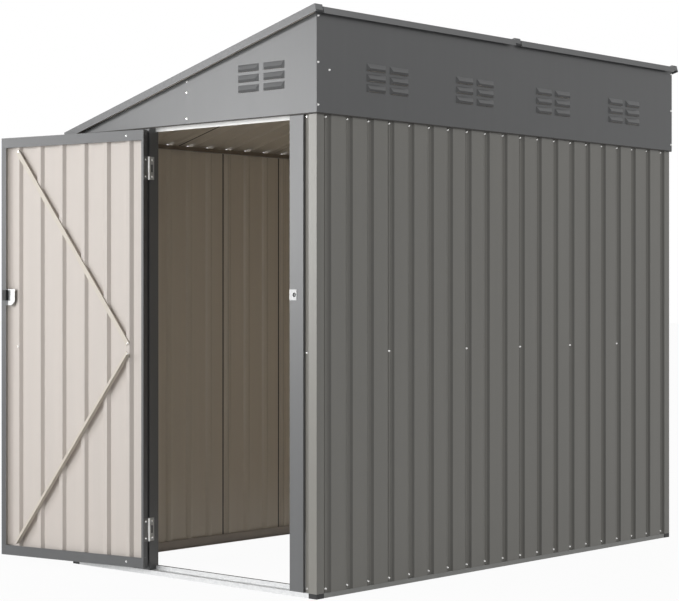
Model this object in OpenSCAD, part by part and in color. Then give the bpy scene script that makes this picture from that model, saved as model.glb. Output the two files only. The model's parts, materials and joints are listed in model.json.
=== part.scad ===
// Lean-to metal storage shed. Millimetres, Z up, the door end faces -Y, the high side is +X.
// The origin is on the ground under the middle of the front sill.

/* [Overall] */
// outside width between corner faces, along X
width = 1276; // [1150:1:1450]
// outside length between corner faces, along Y
length = 2211; // [1800:1:2800]
// underside of the wall sheets above the ground
sheet_bottom = 17; // [12:1:30]
// height of the wall sheets
wall_height = 1630; // [1500:1:1800]
// height of the fascia on the high side
fascia_height = 338; // [260:1:420]

/* [Sheet metal] */
// sheet thickness of walls, fascia and roof
sheet_t = 0.8; // [0.5:0.1:1.2]
// thickness of rails, jambs, door frame and trims
gauge = 1.2; // [0.8:0.1:2]
// corrugation pitch aimed at, evened out over each wall
pitch_aim = 111; // [95:1:130]
// depth of a corrugation
rib_depth = 11; // [8:0.5:15]
// run of a corrugation's sloping side
rib_run = 10; // [6:0.5:14]
// width of a corrugation's floor
rib_floor = 16; // [12:0.5:22]
// share of a corrugation's floor and sides that each bend at the floor takes
bend_share = 0.35; // [0.1:0.05:0.45]
// clearance between lapped sheets and at seats
seat = 0.3; // [0.1:0.1:0.5]

/* [Frame] */
// height of the base rail's web
base_web = 38; // [30:1:60]
// how far the base rail's ledge lies behind the face of the wall
ledge_in = 2; // [1:0.5:4]
// depth of the front sill
sill_depth = 58; // [50:1:80]
// height of the sill's stop above its shelf
stop_height = 15; // [15:1:20]
// width of the sill's stop
stop_width = 8; // [6:1:14]
// side of a corner foot
foot_side = 37; // [30:1:42]
// height of the top rail's web
top_web = 30; // [22:1:45]
// width of the top rail's flange
top_flange = 21; // [15:1:30]

/* [Door] */
// angle that the door stands open
door_open = 170.7; // [0:0.1:172]
// clear width between the jambs
opening = 714; // [600:1:760]
// width of a jamb's face
jamb_face = 63.5; // [45:0.5:80]
// depth of a jamb
jamb_depth = 44; // [42:1:60]
// gap beside and behind the door leaf
door_gap = 6; // [5.5:0.5:9]
// gap under and above the door leaf
door_lift = 10; // [8:0.5:12]
// thickness of the door leaf
door_t = 24; // [22:0.5:28]
// height of the door's top and bottom rails
door_rail = 38; // [30:1:50]
// width of the lock stile's inside face
lock_face = 23; // [18:1:32]
// width of the hinge stile's inside lip
hinge_lip = 10; // [8:1:18]
// height of a hinge
hinge_h = 85; // [60:1:110]
// distance of each hinge's middle from the end of the leaf
hinge_inset = 140; // [110:1:260]
// radius of the hinge barrel
barrel_r = 4; // [3:0.25:4.5]
// radius of the hinge pin
pin_r = 2; // [1.5:0.25:2.25]
// height of the lock above the ground
lock_z = 1030; // [900:5:1150]

/* [Roof] */
// how far the fascia and gables stand proud of the walls
fascia_proud = 8; // [5:0.5:12]
// overhang of the roof at each end
rake_overhang = 22; // [15:1:40]
// overhang of the roof past the fascia
high_overhang = 16; // [10:1:30]
// overhang of the roof past the low end of the gables
low_overhang = 4; // [0:1:40]
// how far the roof's low end lies below the head of the front wall
low_drop = 13; // [6:1:16]
// width of the rake trims and the joint cap
cap_width = 38; // [30:1:50]

/* [Vents] */
// length of one louvre
louvre_len = 102; // [80:1:115]
// height of one louvre's hood
louvre_h = 25; // [20:1:28]
// how far a hood stands out
louvre_out = 9; // [7:0.5:12]
// distance between rows
louvre_row = 36; // [32:1:42]
// distance between the two columns
louvre_col = 124; // [118:1:135]
// height of a vent's middle above the fascia's foot
vent_z = 139; // [110:1:170]
// distance between vents along the fascia, as a share of the length
vent_step = 0.225; // [0.2:0.005:0.235]
// distance of the gable vent from the high corner, as a share of the width
gable_vent = 0.2; // [0.16:0.005:0.25]

/* [Hidden] */
x_high = width / 2;
x_low = -width / 2;
y_front = -sill_depth / 2 - seat;
y_back = y_front + length;
wall_top = sheet_bottom + wall_height;
n_long = round(length / pitch_aim);
n_short = round(width / pitch_aim);
pitch_long = length / n_long;
pitch_short = width / n_short;
lap = sheet_t + seat;
lap_depth = rib_depth - lap;
lap_shift = 0.7;
long_sheets = 6;
back_sheets = 3;
rail_v = rib_depth + sheet_t + seat;
lip_end = rib_floor / 2;
lip_over = lip_end * (1 - 2 * bend_share);
edge_gap = 1;

jamb_u = pitch_long / 2 + lip_end - edge_gap;
lock_reveal = width - jamb_u - jamb_face;
hinge_reveal = lock_reveal - opening;
door_w = opening - 2 * door_gap;
door_z0 = sheet_bottom + door_lift;
door_z1 = wall_top - door_lift;
door_mid = (door_z0 + door_z1) / 2;
axis_out = barrel_r + edge_gap;
axis_x = x_low + hinge_reveal + door_gap / 2;
axis_y = y_front - axis_out;
leaf_t = 1.5;
leaf_depth = door_t - 2 * edge_gap;
run_clear = 0.5;
stop_v = door_t + door_gap;
door_ribs = 6;
door_rib_first = 81;
door_rib_last = 74;
door_rib_step = (door_w - door_rib_first - door_rib_last) / (door_ribs - 1);
sheet_v = gauge + seat;
brace_v = sheet_v + rib_depth + sheet_t + seat;
brace_face = 19;
brace_t = 2.5;
brace_end = 14;
brace_meet = 16;

gable_v = -fascia_proud;
slope_run = width + 2 * fascia_proud;
slope_rise = fascia_height + low_drop;
slope = atan(slope_rise / slope_run);
slope_len = slope_run / cos(slope);
low_top = fascia_proud * tan(slope) - low_drop - seat;
flange_in = rib_depth - edge_gap;
gable_lap = 20;
corner_flange = 25;
roof_sheet_pitches = 5;
roof_y0 = y_front - fascia_proud - rake_overhang + 2 * gauge;
roof_y1 = y_back + fascia_proud + rake_overhang - 2 * gauge;
roof_lap = 14;
roof_x0 = -low_overhang / cos(slope);
roof_x1 = slope_len + high_overhang / cos(slope);
trim_z = rib_depth + sheet_t + 2 * seat;
trim_drop = 10;
rake_drop = 6;
rake_top = 21;
trim_lap = 30;
beam_h = 40;
beam_w = 25;
hood_break = 5;
hood_lip = 8;
hood_run = 10;
vent_rows = 3;

// bent sheet: the points of a bend line, carried sideways by the sheet's thickness
function side(a, b) = [a[1] - b[1], b[0] - a[0]] / norm(b - a);
function side_in(p, i) = i == 0 ? side(p[0], p[1]) : side(p[i - 1], p[i]);
function side_out(p, i) = i == len(p) - 1 ? side(p[i - 1], p[i]) : side(p[i], p[i + 1]);
function mitre(a, b) = (a + b) / (1 + a * b);
function carried(p, t) = [for (i = [0:len(p) - 1]) p[i] + t * mitre(side_in(p, i), side_out(p, i))];
// the bends at the floor of each corrugation eased into two, the bends at its brow left sharp
function at_floor(p, i) = i > 0 && i < len(p) - 1 && p[i][1] > rib_depth / 2;
function eased(p) = [
  for (i = [0:len(p) - 1])
    for (j = at_floor(p, i) ? [i - 1, i + 1] : [i]) p[i] + bend_share * (p[j] - p[i])
];
function turned(p) = [for (i = [len(p) - 1:-1:0]) p[i]];

module bent(p, t, h) {
  linear_extrude(height = h)
    polygon(concat(p, turned(carried(p, t))));
}

// a section drawn in Y and Z, run along X
module along_x(h) {
  rotate([90, 0, 90])
    linear_extrude(height = h)
      children();
}

module bent_x(p, t, h) {
  along_x(h)
    polygon(concat(p, turned(carried(p, t))));
}

// corrugated sheet: u runs along the wall, v runs inward from the outer flats
function over_start(x) =
  [[x - lip_over, lap_depth], [x + lip_end, lap_depth], [x + lip_end + rib_run, 0]];
function over_end(x) =
  [[x - lip_end - rib_run, 0], [x - lip_end, lap_depth], [x + lip_over, lap_depth]];
function under_end(x) =
  [[x - lip_end - rib_run, 0], [x - lip_end, rib_depth], [x + lip_end - edge_gap, rib_depth]];
function under_start(x) =
  [[x - lip_end + edge_gap, rib_depth], [x + lip_end, rib_depth], [x + lip_end + rib_run, 0]];
function rib(x) = [
  [x - lip_end - rib_run, 0], [x - lip_end, rib_depth],
  [x + lip_end, rib_depth], [x + lip_end + rib_run, 0]
];
function ribs(first, step, a, b) = [for (k = [a:1:b]) for (q = rib(first + k * step)) q];
function lap_at(i, n, sheets) = floor(i * (n - 1) / sheets + lap_shift);

module wall_sheets(first, step, n, sheets, mirrored, h) {
  for (i = [0:sheets - 1]) {
    a = mirrored ? n - 1 - lap_at(sheets - i, n, sheets) : lap_at(i, n, sheets);
    b = mirrored ? n - 1 - lap_at(sheets - i - 1, n, sheets) : lap_at(i + 1, n, sheets);
    x_end = first + b * step;
    ends = i == sheets - 1 ? over_end(x_end) : under_end(x_end);
    translate([0, 0, sheet_bottom])
      bent(
        eased(concat(over_start(first + a * step), ribs(first, step, a + 1, b - 1), ends)),
        sheet_t, h
      );
  }
}

// the four walls' own places: u along the wall, v inward
module at_right() {
  translate([x_high, y_front, 0])
    rotate(90)
      children();
}

module at_left() {
  translate([x_low, y_back, 0])
    rotate(-90)
      children();
}

module at_back() {
  translate([x_high, y_back, 0])
    rotate(180)
      children();
}

module at_front() {
  translate([x_low, y_front, 0])
    children();
}

// the front seen from its high corner
module at_front_high() {
  translate([x_high, y_front, 0])
    mirror([1, 0, 0])
      children();
}

module galvanised() {
  color([0.75, 0.76, 0.77])
    children();
}

module grey() {
  color([0.4, 0.4, 0.4])
    children();
}

module warm_grey() {
  color([0.45, 0.44, 0.41])
    children();
}

module black() {
  color([0.05, 0.05, 0.05])
    children();
}

// base frame
module front_sill() {
  galvanised()
    at_front()
      translate([foot_side + seat, seat, 0])
        difference() {
          union() {
            cube([width - 2 * foot_side - 2 * seat, sill_depth, sheet_bottom]);
            translate([hinge_reveal - foot_side + edge_gap, stop_v - seat, 0])
              cube([opening - 2 * edge_gap, stop_width, sheet_bottom + stop_height]);
          }
          translate([-edge_gap, gauge, gauge])
            cube([width, sill_depth - 2 * gauge, sheet_bottom - 2 * gauge]);
          translate([-edge_gap, stop_v - seat + gauge, gauge])
            cube([width, stop_width - 2 * gauge, sheet_bottom + stop_height - 2 * gauge]);
        }
}

// the wall sheets stand on the rail's ledge, and its web rises behind them
module base_rail(run) {
  galvanised()
    translate([foot_side + seat, 0, 0])
      bent_x(
        [
          [rail_v + gauge, 0], [ledge_in, 0], [ledge_in, sheet_bottom - seat],
          [rail_v, sheet_bottom - seat], [rail_v, base_web]
        ],
        -gauge, run - 2 * foot_side - 2 * seat
      );
}

module base_rail_right() {
  at_right()
    base_rail(length);
}

module base_rail_left() {
  at_left()
    base_rail(length);
}

module base_rail_back() {
  at_back()
    base_rail(width);
}

module corner_feet() {
  black()
    for (x = [x_low, x_high - foot_side])
      for (y = [y_front, y_back - foot_side])
        translate([x, y, 0])
          cube([foot_side, foot_side, sheet_bottom]);
}

// corner piece: two flats and two lips that the wall sheets lap
function wing(h) = eased([
  [h + lip_end - edge_gap, rib_depth], [h - lip_end, rib_depth], [h - lip_end - rib_run, 0], [0, 0]
]);
function corner_path(ha, hb) =
  concat(wing(ha), [for (i = [len(wing(hb)) - 2:-1:0]) [wing(hb)[i][1], wing(hb)[i][0]]]);

module corner(ha, hb) {
  translate([0, 0, sheet_bottom])
    bent(corner_path(ha, hb), -sheet_t, wall_height);
}

// what stands under the low end of the roof is cut to its slope
module under_roof() {
  difference() {
    children();
    on_roof()
      translate([roof_x0, roof_y0, -seat])
        cube([slope_len, roof_y1 - roof_y0, fascia_height]);
  }
}

module corner_front_right() {
  warm_grey()
    at_right()
      corner(pitch_long / 2, pitch_long / 2);
}

module corner_front_left() {
  warm_grey()
    under_roof()
      at_front()
        corner(pitch_long / 2, pitch_long / 2);
}

module corner_back_right() {
  warm_grey()
    at_back()
      corner(pitch_short / 2, pitch_long / 2);
}

module corner_back_left() {
  warm_grey()
    under_roof()
      at_left()
        corner(pitch_long / 2, pitch_short / 2);
}

// walls
module wall_right() {
  warm_grey()
    at_right()
      wall_sheets(pitch_long / 2, pitch_long, n_long, long_sheets, false, wall_height);
}

module wall_left() {
  warm_grey()
    at_left()
      wall_sheets(pitch_long / 2, pitch_long, n_long, long_sheets, true, wall_height + low_top);
}

module wall_back() {
  warm_grey()
    under_roof()
      at_back()
        wall_sheets(pitch_short / 2, pitch_short, n_short, back_sheets, false, wall_height);
}

infill_last = hinge_reveal - jamb_face - lip_end + 2 * edge_gap;
infill_steps = max(1, round((infill_last - pitch_long / 2) / pitch_aim));
infill_step = (infill_last - pitch_long / 2) / infill_steps;

module wall_front() {
  first = pitch_long / 2;
  warm_grey()
    under_roof()
      at_front()
        translate([0, 0, sheet_bottom])
          bent(
            eased(concat(
              over_start(first), ribs(first, infill_step, 1, infill_steps - 1), under_end(infill_last)
            )),
            sheet_t, wall_height
          );
}

// top rails behind the heads of the wall sheets
module top_rail(run, web_top) {
  translate([rail_v + gauge + seat, rail_v, 0]) {
    translate([0, 0, wall_top - top_web])
      cube([run - 2 * (rail_v + gauge + seat), gauge, top_web + web_top]);
    translate([2 * top_flange, 0, wall_top - top_web])
      cube([run - 2 * (rail_v + gauge + seat + 2 * top_flange), top_flange, gauge]);
  }
}

module top_rail_right() {
  galvanised()
    at_right()
      top_rail(length, 0);
}

module top_rail_left() {
  galvanised()
    at_left()
      top_rail(length, low_top);
}

module top_rail_back() {
  galvanised()
    under_roof()
      at_back()
        top_rail(width, 0);
}

module head_rail() {
  galvanised()
    at_front() {
      translate([pitch_long / 2 + lip_end, flange_in + seat, wall_top])
        cube([width - pitch_long - 2 * lip_end, jamb_depth - flange_in, gauge]);
      translate([hinge_reveal + edge_gap, stop_v, wall_top - stop_height])
        cube([opening - 2 * edge_gap, gauge, stop_height + gauge]);
    }
}

// door jambs
module jamb(edge, reveal, turn) {
  grey()
    at_front()
      translate([0, 0, sheet_bottom])
        bent(
          [
            [edge, rib_depth - seat], [edge, 0], [reveal, 0],
            [reveal, jamb_depth], [reveal - turn * jamb_face / 3, jamb_depth]
          ],
          turn * gauge, wall_height
        );
}

module jamb_lock() {
  jamb(width - jamb_u, lock_reveal, -1);
}

module jamb_hinge() {
  jamb(hinge_reveal - jamb_face, hinge_reveal, 1);
}

// pressed louvre: hood outside, slot behind it; origin at its middle on the sheet's outer face
hood = [
  [0, louvre_h / 2], [-louvre_out * 0.35, louvre_h / 2 - hood_break],
  [-louvre_out, -louvre_h / 2 + hood_lip], [-louvre_out / 2, -louvre_h / 2]
];
hood_in = concat(
  carried(hood, sheet_t),
  [[sheet_t - louvre_out / 2, -louvre_h / 2 - edge_gap], [edge_gap, -louvre_h / 2 - edge_gap]]
);
hood_wall = 2 * sheet_t;

module louvre_slot() {
  translate([-louvre_len / 2 + hood_wall, -edge_gap, -louvre_h / 2])
    cube([louvre_len - 2 * hood_wall, sheet_t + 2 * edge_gap, louvre_h - hood_break]);
}

// a section of the hood, with its ends sloped back to the sheet
module louvre_form(section, inset) {
  half = louvre_len / 2 - inset;
  intersection() {
    translate([-half, 0, 0])
      along_x(2 * half)
        polygon(section);
    translate([0, 0, -louvre_h])
      linear_extrude(height = 2 * louvre_h)
        polygon([
          [-half, edge_gap], [-half, 0], [hood_run - half, -louvre_out],
          [half - hood_run, -louvre_out], [half, 0], [half, edge_gap]
        ]);
  }
}

module louvre_hood() {
  difference() {
    louvre_form(concat(hood, [[0, -louvre_h / 2]]), 0);
    louvre_form(hood_in, hood_wall);
  }
}

module at_louvres(u, z) {
  for (c = [-0.5, 0.5])
    for (r = [0:vent_rows - 1])
      translate([u + c * louvre_col, 0, z + (r - 1) * louvre_row])
        children();
}

module fascia_right() {
  grey()
    at_right()
      translate([0, gable_v, 0]) {
        difference() {
          translate([-fascia_proud, 0, wall_top])
            cube([length + 2 * fascia_proud, sheet_t, fascia_height - seat]);
          for (k = [-1.5:1:1.5])
            at_louvres(length * (0.5 + k * vent_step), wall_top + vent_z)
              louvre_slot();
        }
        for (k = [-1.5:1:1.5])
          at_louvres(length * (0.5 + k * vent_step), wall_top + vent_z)
            louvre_hood();
        translate([0, 0, wall_top])
          cube([length, fascia_proud + flange_in, sheet_t]);
      }
}

// gables: u from the high corner
function gable_top(u) = wall_top + fascia_height - (u + fascia_proud) * tan(slope) - seat;
gable_mid = width / 2;
gable_in = gable_mid - gable_lap;
gable_u0 = -fascia_proud + lap;
gable_tip = (fascia_height - seat) / tan(slope) - fascia_proud;

module gable_high() {
  grey()
    translate([0, gable_v, 0]) {
      difference() {
        rotate([90, 0, 0])
          translate([0, 0, -sheet_t])
            linear_extrude(height = sheet_t)
              polygon([
                [gable_u0, wall_top], [gable_mid, wall_top],
                [gable_mid, gable_top(gable_mid)], [gable_u0, gable_top(gable_u0)]
              ]);
        at_louvres(width * gable_vent, wall_top + vent_z)
          louvre_slot();
      }
      at_louvres(width * gable_vent, wall_top + vent_z)
        louvre_hood();
      translate([pitch_long, 0, wall_top])
        cube([gable_mid - gable_lap - pitch_long, fascia_proud + flange_in, sheet_t]);
      rotate([90, 0, 90])
        translate([0, 0, gable_u0])
          linear_extrude(height = sheet_t)
            polygon([
              [0, wall_top + lap], [corner_flange, wall_top + lap],
              [corner_flange, gable_top(gable_u0 + sheet_t)], [0, gable_top(gable_u0 + sheet_t)]
            ]);
    }
}

module gable_low() {
  grey()
    translate([0, gable_v + lap, 0]) {
      rotate([90, 0, 0])
        translate([0, 0, -sheet_t])
          linear_extrude(height = sheet_t)
            polygon([
              [gable_in, wall_top], [gable_tip, wall_top], [gable_in, gable_top(gable_in)]
            ]);
      translate([gable_mid, 0, wall_top])
        cube([gable_mid - pitch_long, fascia_proud - lap + flange_in, sheet_t]);
    }
}

module gable_front_high() {
  at_front_high()
    gable_high();
}

module gable_front_low() {
  at_front_high()
    gable_low();
}

module gable_back_high() {
  at_back()
    gable_high();
}

module gable_back_low() {
  at_back()
    gable_low();
}

// roof: x up the slope from the low gable end, z square to the roof
module on_roof() {
  translate([x_low - fascia_proud, 0, wall_top - low_drop])
    rotate([0, -slope, 0])
      children();
}

module roof_beam() {
  galvanised()
    on_roof()
      translate([slope_len / 2, y_front - fascia_proud + 2 * lap + seat, 0])
        difference() {
          translate([0, 0, -beam_h - seat])
            cube([beam_w, length + 2 * fascia_proud - 4 * lap - 2 * seat, beam_h]);
          translate([gauge, -edge_gap, -beam_h - seat + gauge])
            cube([beam_w, length + 2 * fascia_proud, beam_h - 2 * gauge]);
        }
}

// one roof sheet from rib a to rib b; y runs along the shed
module roof_sheet(a, b, starts, ends) {
  on_roof()
    translate([roof_x0, 0, 0])
      bent_x(
        eased(concat(starts, ribs(y_front + pitch_long / 2, pitch_long, a, b), ends)),
        sheet_t, roof_x1 - roof_x0
      );
}

function roof_joint(k) = y_front + k * pitch_long;
function joggle(y) = [[y - roof_lap, lap], [y + edge_gap, lap], [y + roof_lap / 4, 0]];
n_half = floor(n_long / 2);

module roof_sheets_front() {
  grey() {
    roof_sheet(
      0, roof_sheet_pitches - 1,
      [[roof_y0, 0]], [[roof_joint(roof_sheet_pitches), 0]]
    );
    roof_sheet(
      roof_sheet_pitches, n_half - 1,
      joggle(roof_joint(roof_sheet_pitches)), [[roof_joint(n_half) - edge_gap, 0]]
    );
  }
}

module roof_sheets_back() {
  last = n_long - roof_sheet_pitches;
  grey() {
    roof_sheet(n_half, last - 1, [[roof_joint(n_half) + edge_gap, 0]], [[roof_joint(last), 0]]);
    roof_sheet(last, n_long - 1, joggle(roof_joint(last)), [[roof_y1, 0]]);
  }
}

module rake_trim(y, turn) {
  foot = sheet_t + seat;
  grey()
    on_roof()
      translate([roof_x0, 0, 0]) {
        bent_x(
          [
            [y, -rake_drop], [y, rake_top],
            [y + turn * cap_width, rake_top], [y + turn * cap_width, foot]
          ],
          -turn * gauge, roof_x1 - roof_x0
        );
        translate([roof_x1 - roof_x0 - gauge, min(y, y + turn * cap_width), foot])
          cube([gauge, cap_width, rake_top - foot]);
      }
}

module rake_trim_front() {
  rake_trim(y_front - fascia_proud - rake_overhang, 1);
}

module rake_trim_back() {
  rake_trim(y_back + fascia_proud + rake_overhang, -1);
}

module high_trim() {
  inset = cap_width + seat - fascia_proud - rake_overhang;
  half = length / 2 - inset - cap_width / 2 - seat;
  grey()
    on_roof()
      for (y = [y_front + inset, y_front + length / 2 + cap_width / 2 + seat])
        translate([roof_x1 + seat, y, 0])
          rotate([90, 0, 0])
            translate([0, 0, -half])
              linear_extrude(height = half)
                polygon([
                  [0, -trim_drop], [gauge, -trim_drop], [gauge, trim_z + gauge],
                  [-trim_lap, trim_z + gauge], [-trim_lap, trim_z], [0, trim_z]
                ]);
}

module joint_cap() {
  foot = sheet_t + seat;
  mid = roof_joint(n_half);
  grey()
    on_roof()
      translate([roof_x0, 0, 0]) {
        bent_x(
          [
            [mid - cap_width / 2, foot], [mid - cap_width / 2, rake_top],
            [mid + cap_width / 2, rake_top], [mid + cap_width / 2, foot]
          ],
          -gauge, roof_x1 - roof_x0
        );
        translate([roof_x1 - roof_x0 - gauge, mid - cap_width / 2, foot])
          cube([gauge, cap_width, rake_top - foot]);
      }
}

// strike plate on the lock jamb
strike_w = 34;
strike_h = 37;
strike_hole = 5;

module strike_plate() {
  galvanised()
    at_front()
      translate([lock_reveal, -leaf_t, lock_z - strike_h / 2])
        difference() {
          cube([strike_w, leaf_t, strike_h]);
          translate([strike_w * 2 / 3, leaf_t / 2, strike_h / 2])
            rotate([90, 0, 0])
              cylinder(r = strike_hole, h = 4 * leaf_t, center = true, $fn = 48);
        }
}

// hinges: three knuckles each, the middle one on the door
module at_hinges() {
  for (z = [door_z0 + hinge_inset, door_z1 - hinge_inset])
    translate([axis_x, axis_y, z])
      children();
}

knuckle = hinge_h / 3;

module jamb_hinges() {
  galvanised()
    at_hinges()
      difference() {
        union() {
          cylinder(r = barrel_r, h = hinge_h, center = true, $fn = 48);
          translate([-door_gap / 2, 0, -hinge_h / 2])
            cube([leaf_t, axis_out + leaf_depth, hinge_h]);
        }
        difference() {
          cylinder(r = barrel_r + run_clear, h = knuckle + 2 * run_clear, center = true, $fn = 48);
          cylinder(r = pin_r, h = hinge_h, center = true, $fn = 48);
        }
        translate([-door_gap / 2 - edge_gap, axis_out + leaf_depth * 0.3, -knuckle / 2])
          cube([leaf_t + 2 * edge_gap, leaf_depth * 0.45, knuckle]);
      }
}

// the door leaf, drawn shut and swung about the hinge
module on_door() {
  translate([axis_x, axis_y, 0])
    rotate(-door_open)
      translate([door_gap / 2, axis_out, 0])
        children();
}

// two sheets, lapped in the rib next to the hinge, with sharper bends than the walls'
module door_sheet() {
  first = door_rib_first;
  h = door_z1 - door_z0 - 2 * gauge - 2 * seat;
  warm_grey()
    on_door()
      translate([0, sheet_v, door_z0 + gauge + seat]) {
        bent(concat([[gauge + seat, 0]], over_end(first)), sheet_t, h);
        bent(
          concat(
            under_start(first), ribs(first, door_rib_step, 1, door_ribs - 1),
            [[door_w - gauge - seat, 0]]
          ),
          sheet_t, h
        );
      }
}

// a door rail: a channel with closed ends, open towards the middle of the leaf
module door_rail_at(z, up) {
  grey()
    on_door()
      translate([0, 0, z]) {
        bent_x([[0, up * door_rail], [0, 0], [door_t, 0], [door_t, up * door_rail]], up * gauge, door_w);
        for (u = [0, door_w - gauge])
          translate([u, 0, min(0, up * door_rail)])
            cube([gauge, door_t, door_rail]);
      }
}

module door_rail_top() {
  door_rail_at(door_z1, -1);
}

module door_rail_bottom() {
  door_rail_at(door_z0, 1);
}

stile_z0 = door_z0 + door_rail + seat;
stile_h = door_z1 - door_z0 - 2 * door_rail - 2 * seat;
stile_face = 34;

module door_stile_hinge() {
  grey()
    on_door()
      translate([0, 0, stile_z0])
        bent([[stile_face, 0], [0, 0], [0, door_t], [hinge_lip, door_t]], -gauge, stile_h);
}

module door_stile_lock() {
  grey()
    on_door()
      translate([door_w, 0, stile_z0])
        bent([[-stile_face, 0], [0, 0], [0, door_t], [-lock_face, door_t]], gauge, stile_h);
}

// braces on the ribs: a flat strap from the rib at the hinge to the rib at the lock
module brace(a, b) {
  run = b - a;
  warm_grey()
    on_door()
      translate([a[0], brace_v, a[1]])
        rotate([0, -atan2(run[1], run[0]), 0])
          translate([0, 0, -brace_face / 2])
            cube([norm(run), brace_t, brace_face]);
}

brace_u0 = door_rib_first;
brace_u1 = door_rib_first + (door_ribs - 1) * door_rib_step;

module door_brace_top() {
  brace([brace_u0, door_mid + brace_meet], [brace_u1, door_z1 - door_rail - brace_end]);
}

module door_brace_bottom() {
  brace([brace_u0, door_mid - brace_meet], [brace_u1, door_z0 + door_rail + brace_end]);
}

module door_hinges() {
  galvanised()
    translate([axis_x, axis_y, 0])
      rotate(-door_open)
        translate([-axis_x, -axis_y, 0])
          at_hinges()
            difference() {
              union() {
                cylinder(r = barrel_r, h = knuckle, center = true, $fn = 48);
                difference() {
                  translate([door_gap / 2 - leaf_t, 0, -hinge_h / 2])
                    cube([leaf_t, axis_out + leaf_depth, hinge_h]);
                  for (s = [-1, 1])
                    translate([0, 0, s * knuckle])
                      cylinder(
                        r = barrel_r + run_clear, h = knuckle + 2 * run_clear, center = true, $fn = 48
                      );
                }
              }
              cylinder(r = pin_r + run_clear / 2, h = hinge_h, center = true, $fn = 48);
            }
}

// lock on the lock stile: plate and case inside, pull handle outside
lock_plate_w = 54;
lock_plate_h = 62;
lock_plate_cut = 16;
lock_plate_up = 23;
lock_case_w = 18;
lock_case_h = 40;
lock_case_out = 12;
lock_edge = 16;

module door_lock_plate() {
  galvanised()
    on_door()
      translate([door_w - lock_edge - lock_plate_w, door_t + leaf_t, lock_z + lock_plate_up - lock_plate_h])
        rotate([90, 0, 0])
          linear_extrude(height = leaf_t)
            polygon([
              [0, lock_plate_cut], [lock_plate_cut, 0], [lock_plate_w, 0],
              [lock_plate_w, lock_plate_h], [0, lock_plate_h]
            ]);
}

module door_lock() {
  black()
    on_door()
      translate([door_w - lock_edge - lock_case_w, door_t + leaf_t, lock_z - lock_case_h / 2])
        cube([lock_case_w, lock_case_out, lock_case_h]);
}

handle_h = 120;
handle_out = 34;
handle_w = 16;
handle_t = 8;

module door_handle() {
  black()
    on_door()
      translate([door_w - stile_face / 2 - handle_w / 2, 0, lock_z - handle_h / 2])
        mirror([0, 1, 0])
          difference() {
            cube([handle_w, handle_out, handle_h]);
            translate([-edge_gap, -edge_gap, handle_w])
              cube([handle_w + 2 * edge_gap, handle_out - handle_t + edge_gap, handle_h - 2 * handle_w]);
          }
}

front_sill();
base_rail_right();
base_rail_left();
base_rail_back();
corner_feet();
corner_front_right();
corner_front_left();
corner_back_right();
corner_back_left();
wall_right();
wall_left();
wall_back();
wall_front();
top_rail_right();
top_rail_left();
top_rail_back();
head_rail();
jamb_lock();
jamb_hinge();
fascia_right();
gable_front_high();
gable_front_low();
gable_back_high();
gable_back_low();
roof_beam();
roof_sheets_front();
roof_sheets_back();
rake_trim_front();
rake_trim_back();
high_trim();
joint_cap();
strike_plate();
jamb_hinges();
door_sheet();
door_rail_top();
door_rail_bottom();
door_stile_hinge();
door_stile_lock();
door_brace_top();
door_brace_bottom();
door_hinges();
door_lock_plate();
door_lock();
door_handle();
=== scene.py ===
import json
import math

import bmesh
import bpy
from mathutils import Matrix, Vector


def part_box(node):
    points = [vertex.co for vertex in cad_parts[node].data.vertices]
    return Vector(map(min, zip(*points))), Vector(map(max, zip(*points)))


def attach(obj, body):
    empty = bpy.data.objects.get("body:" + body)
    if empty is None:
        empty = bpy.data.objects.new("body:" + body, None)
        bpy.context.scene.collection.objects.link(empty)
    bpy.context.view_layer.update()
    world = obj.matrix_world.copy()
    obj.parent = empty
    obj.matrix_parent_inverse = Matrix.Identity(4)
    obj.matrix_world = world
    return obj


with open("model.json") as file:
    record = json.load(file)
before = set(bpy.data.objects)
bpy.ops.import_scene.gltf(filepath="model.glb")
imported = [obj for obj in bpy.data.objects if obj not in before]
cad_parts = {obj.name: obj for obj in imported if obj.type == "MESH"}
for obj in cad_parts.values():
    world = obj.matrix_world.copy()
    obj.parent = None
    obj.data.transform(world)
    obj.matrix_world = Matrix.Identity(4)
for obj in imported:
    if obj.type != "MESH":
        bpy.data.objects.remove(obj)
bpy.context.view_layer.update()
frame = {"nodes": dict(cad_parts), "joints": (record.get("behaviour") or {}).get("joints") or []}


# Front sill and roof beam: roll-formed strip of hot-dip galvanised steel, left unpainted,
# so the zinc's crystals show as a faint spangle on a dull, pale surface.
mm = 0.001


def linear(hex_colour):
    channels = [int(hex_colour[i:i + 2], 16) / 255 for i in (0, 2, 4)]
    return [c / 12.92 if c <= 0.04045 else ((c + 0.055) / 1.055) ** 2.4 for c in channels] + [1]


def add(tree, kind, inputs=(), **settings):
    made = tree.nodes.new(kind)
    for name, value in settings.items():
        setattr(made, name, value)
    for key, value in dict(inputs).items():
        if isinstance(value, bpy.types.NodeSocket):
            tree.links.new(value, made.inputs[key])
        else:
            made.inputs[key].default_value = value
    return made


def new_material(name):
    material = bpy.data.materials.new(name)
    material.use_nodes = True
    return material, material.node_tree, material.node_tree.nodes["Principled BSDF"]


def dress(material, *nodes):
    for name in nodes:
        slots = frame["nodes"][name].data.materials
        slots.clear()
        slots.append(material)


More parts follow.
